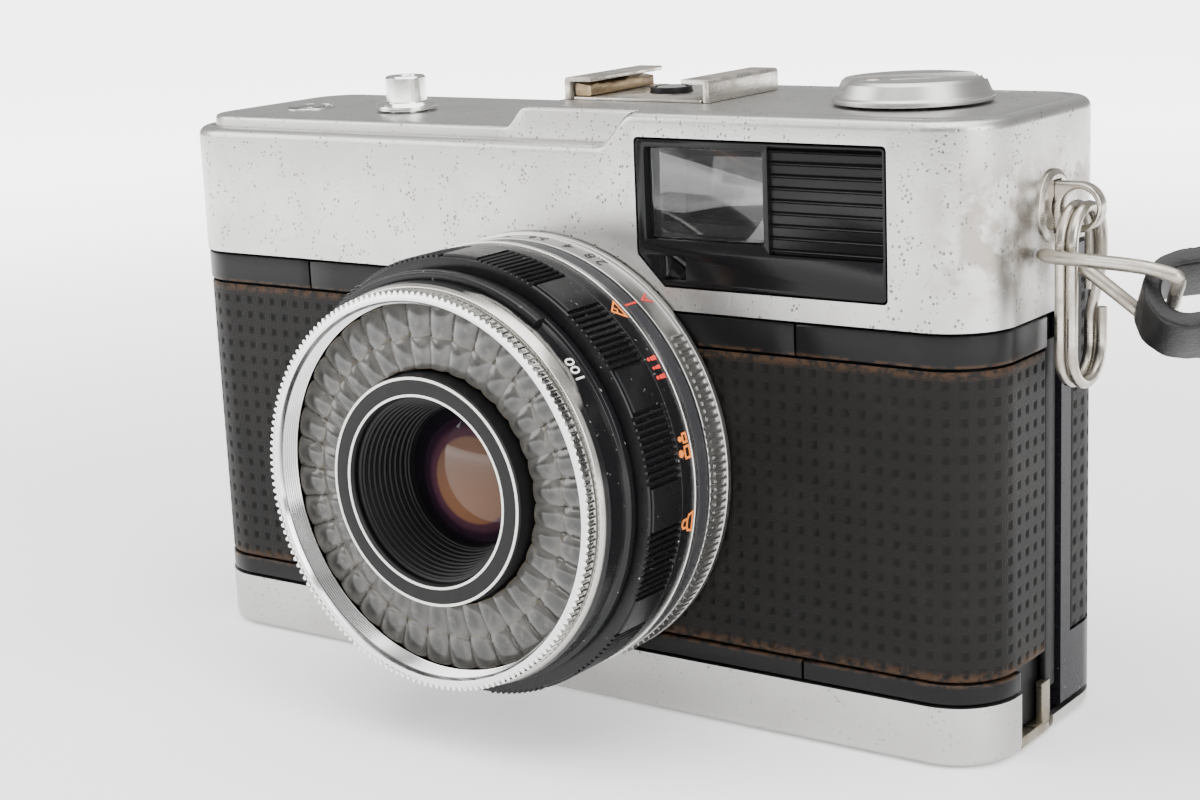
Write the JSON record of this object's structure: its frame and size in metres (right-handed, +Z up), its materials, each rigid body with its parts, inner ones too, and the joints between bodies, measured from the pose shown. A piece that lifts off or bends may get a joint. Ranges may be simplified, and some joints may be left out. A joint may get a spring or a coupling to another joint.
{
  "type": "35 mm viewfinder camera",
  "caption": "Compact 35 mm viewfinder film camera with a light-cell ring round its fixed lens, hinged back, thumb-wheel advance, folding rewind crank and wrist strap.",
  "frame": {"origin": "on the resting face of the base, under the middle of the body", "axes": "+X along the width towards the rewind side, the lens looks along -Y, +Z up"},
  "size_m": [0.2276, 0.0741, 0.0738],
  "materials": {
    "satin_chrome": "satin chrome with fine dark pitting",
    "bright_chrome": "polished chrome",
    "steel": "nickelled steel, worn",
    "black_paint": "semi-gloss black paint over metal",
    "black_plastic": "satin black moulding",
    "leatherette": "black grained covering pressed with a woven check",
    "strap_leather": "smooth black strap leather",
    "cell_lens": "smoky moulded light-cell lens",
    "clear_glass": "clear optical glass",
    "coated_glass": "amber and purple coated glass",
    "aged_brass": "corroded spring brass"
  },
  "bodies": {
    "camera_body": {"chassis": "black_paint", "top_cover": "satin_chrome", "base_cover": "satin_chrome", "band_upper_left_end": "black_plastic", "band_upper_left": "black_plastic", "band_upper_right": "black_plastic", "band_upper_right_end": "black_plastic", "band_lower_left": "black_plastic", "band_lower_right": "black_plastic", "band_lower_right_end": "black_plastic", "leather_left": "leatherette", "leather_right": "leatherette", "hinge_pin": "steel", "finder_bezel": "black_plastic", "finder_window": "clear_glass", "finder_tube": "black_plastic", "eyepiece": "black_plastic", "lens_core": "black_paint", "index_ring": "black_paint", "cell_ring": "cell_lens", "name_ring": "black_paint", "lens_throat": "black_paint", "front_glass": "coated_glass", "shutter_plate": "black_paint", "rear_glass": "clear_glass", "shutter_collar": "bright_chrome", "counter_window": "clear_glass", "shoe_plate": "steel", "shoe_rail_left": "steel", "shoe_rail_right": "steel", "shoe_contact": "steel", "shoe_spring": "aged_brass", "tripod_bush": "steel", "base_screw_left": "steel", "base_screw_right": "steel", "strap_lug_right": "steel", "strap_lug_left": "steel"},
    "shutter": {"shutter_button": "bright_chrome"},
    "rewind_drive": {"rewind_sleeve": "steel"},
    "rewind": {"rewind_knob": "satin_chrome", "rewind_shaft": "steel"},
    "crank": {"rewind_crank": "satin_chrome"},
    "advance": {"advance_wheel": "black_plastic"},
    "takeup": {"takeup_spool": "black_plastic"},
    "sprocket_drum": {"sprocket": "steel"},
    "counter": {"counter_dial": "black_paint"},
    "door": {"rear_door": "black_paint", "door_leather": "leatherette"},
    "film_plate": {"pressure_plate": "black_paint"},
    "latch": {"door_latch": "steel"},
    "aperture": {"aperture_ring": "satin_chrome"},
    "focus": {"focus_ring": "black_paint"},
    "speed": {"speed_ring": "black_paint", "front_rim": "bright_chrome"},
    "release": {"rewind_release": "steel"},
    "lug_ring": {"split_ring": "steel"},
    "link": {"wire_link": "steel", "strap_end": "strap_leather", "strap_clasp": "bright_chrome", "wrist_strap": "strap_leather"}
  },
  "joints": [
    {"name": "shutter_press", "type": "slide", "parent": "camera_body", "child": "shutter", "axis": [0, 0, -1], "range_m": [0, 0.0018], "stiffness_N_per_m": 250},
    {"name": "rewind_turn", "type": "hinge", "parent": "camera_body", "child": "rewind_drive", "pos_m": [0.0413, 0.0002, 0.07], "axis": [0, 0, 1], "continuous": true},
    {"name": "rewind_lift", "type": "slide", "parent": "rewind_drive", "child": "rewind", "axis": [0, 0, 1], "range_m": [0, 0.009]},
    {"name": "crank_fold", "type": "hinge", "parent": "rewind", "child": "crank", "pos_m": [0.03688, -0.0029, 0.073], "axis": [0.5736, -0.8192, 0], "range_deg": [0, 180]},
    {"name": "advance_turn", "type": "hinge", "parent": "camera_body", "child": "advance", "pos_m": [-0.0435, 0.0066, 0.06], "axis": [0, 0, 1], "continuous": true},
    {"name": "takeup_turn", "type": "hinge", "parent": "camera_body", "child": "takeup", "pos_m": [-0.041, 0.0002, 0.05], "axis": [0, 0, 1], "continuous": true},
    {"name": "sprocket_turn", "type": "hinge", "parent": "camera_body", "child": "sprocket_drum", "pos_m": [-0.0234, 0.006, 0.03], "axis": [0, 0, 1], "continuous": true},
    {"name": "counter_turn", "type": "hinge", "parent": "camera_body", "child": "counter", "pos_m": [-0.046, -0.003, 0.066], "axis": [0, 0, 1], "continuous": true},
    {"name": "door_swing", "type": "hinge", "parent": "camera_body", "child": "door", "pos_m": [-0.0572, 0.001, 0.03], "axis": [0, 0, 1], "range_deg": [0, 110]},
    {"name": "plate_press", "type": "slide", "parent": "door", "child": "film_plate", "axis": [0, 1, 0], "range_m": [0, 0.0008], "stiffness_N_per_m": 200},
    {"name": "latch_slide", "type": "slide", "parent": "camera_body", "child": "latch", "axis": [0, 0, -1], "range_m": [0, 0.003], "stiffness_N_per_m": 150},
    {"name": "aperture_turn", "type": "hinge", "parent": "camera_body", "child": "aperture", "pos_m": [0.0006, 0, 0.0308], "axis": [0, 1, 0], "range_deg": [0, 110]},
    {"name": "focus_turn", "type": "hinge", "parent": "camera_body", "child": "focus", "pos_m": [0.0006, 0, 0.0308], "axis": [0, 1, 0], "range_deg": [-100, 0]},
    {"name": "speed_turn", "type": "hinge", "parent": "camera_body", "child": "speed", "pos_m": [0.0006, 0, 0.0308], "axis": [0, 1, 0], "range_deg": [0, 100]},
    {"name": "release_press", "type": "slide", "parent": "camera_body", "child": "release", "axis": [0, 0, 1], "range_m": [0, 0.0012], "stiffness_N_per_m": 200},
    {"name": "ring_swing", "type": "hinge", "parent": "camera_body", "child": "lug_ring", "pos_m": [0.0614, 0, 0.0604], "axis": [0, -1, 0], "range_deg": [0, 30]},
    {"name": "link_swing", "type": "hinge", "parent": "lug_ring", "child": "link", "pos_m": [0.0614, -0.00385, 0.0555], "axis": [0, 0, 1], "range_deg": [-8, 8]}
  ],
  "couplings": [
    {"joint": "takeup_turn", "follows": "advance_turn", "ratio": -1.25},
    {"joint": "sprocket_turn", "follows": "advance_turn", "ratio": 1.5},
    {"joint": "counter_turn", "follows": "advance_turn", "ratio": 0.05}
  ]
}
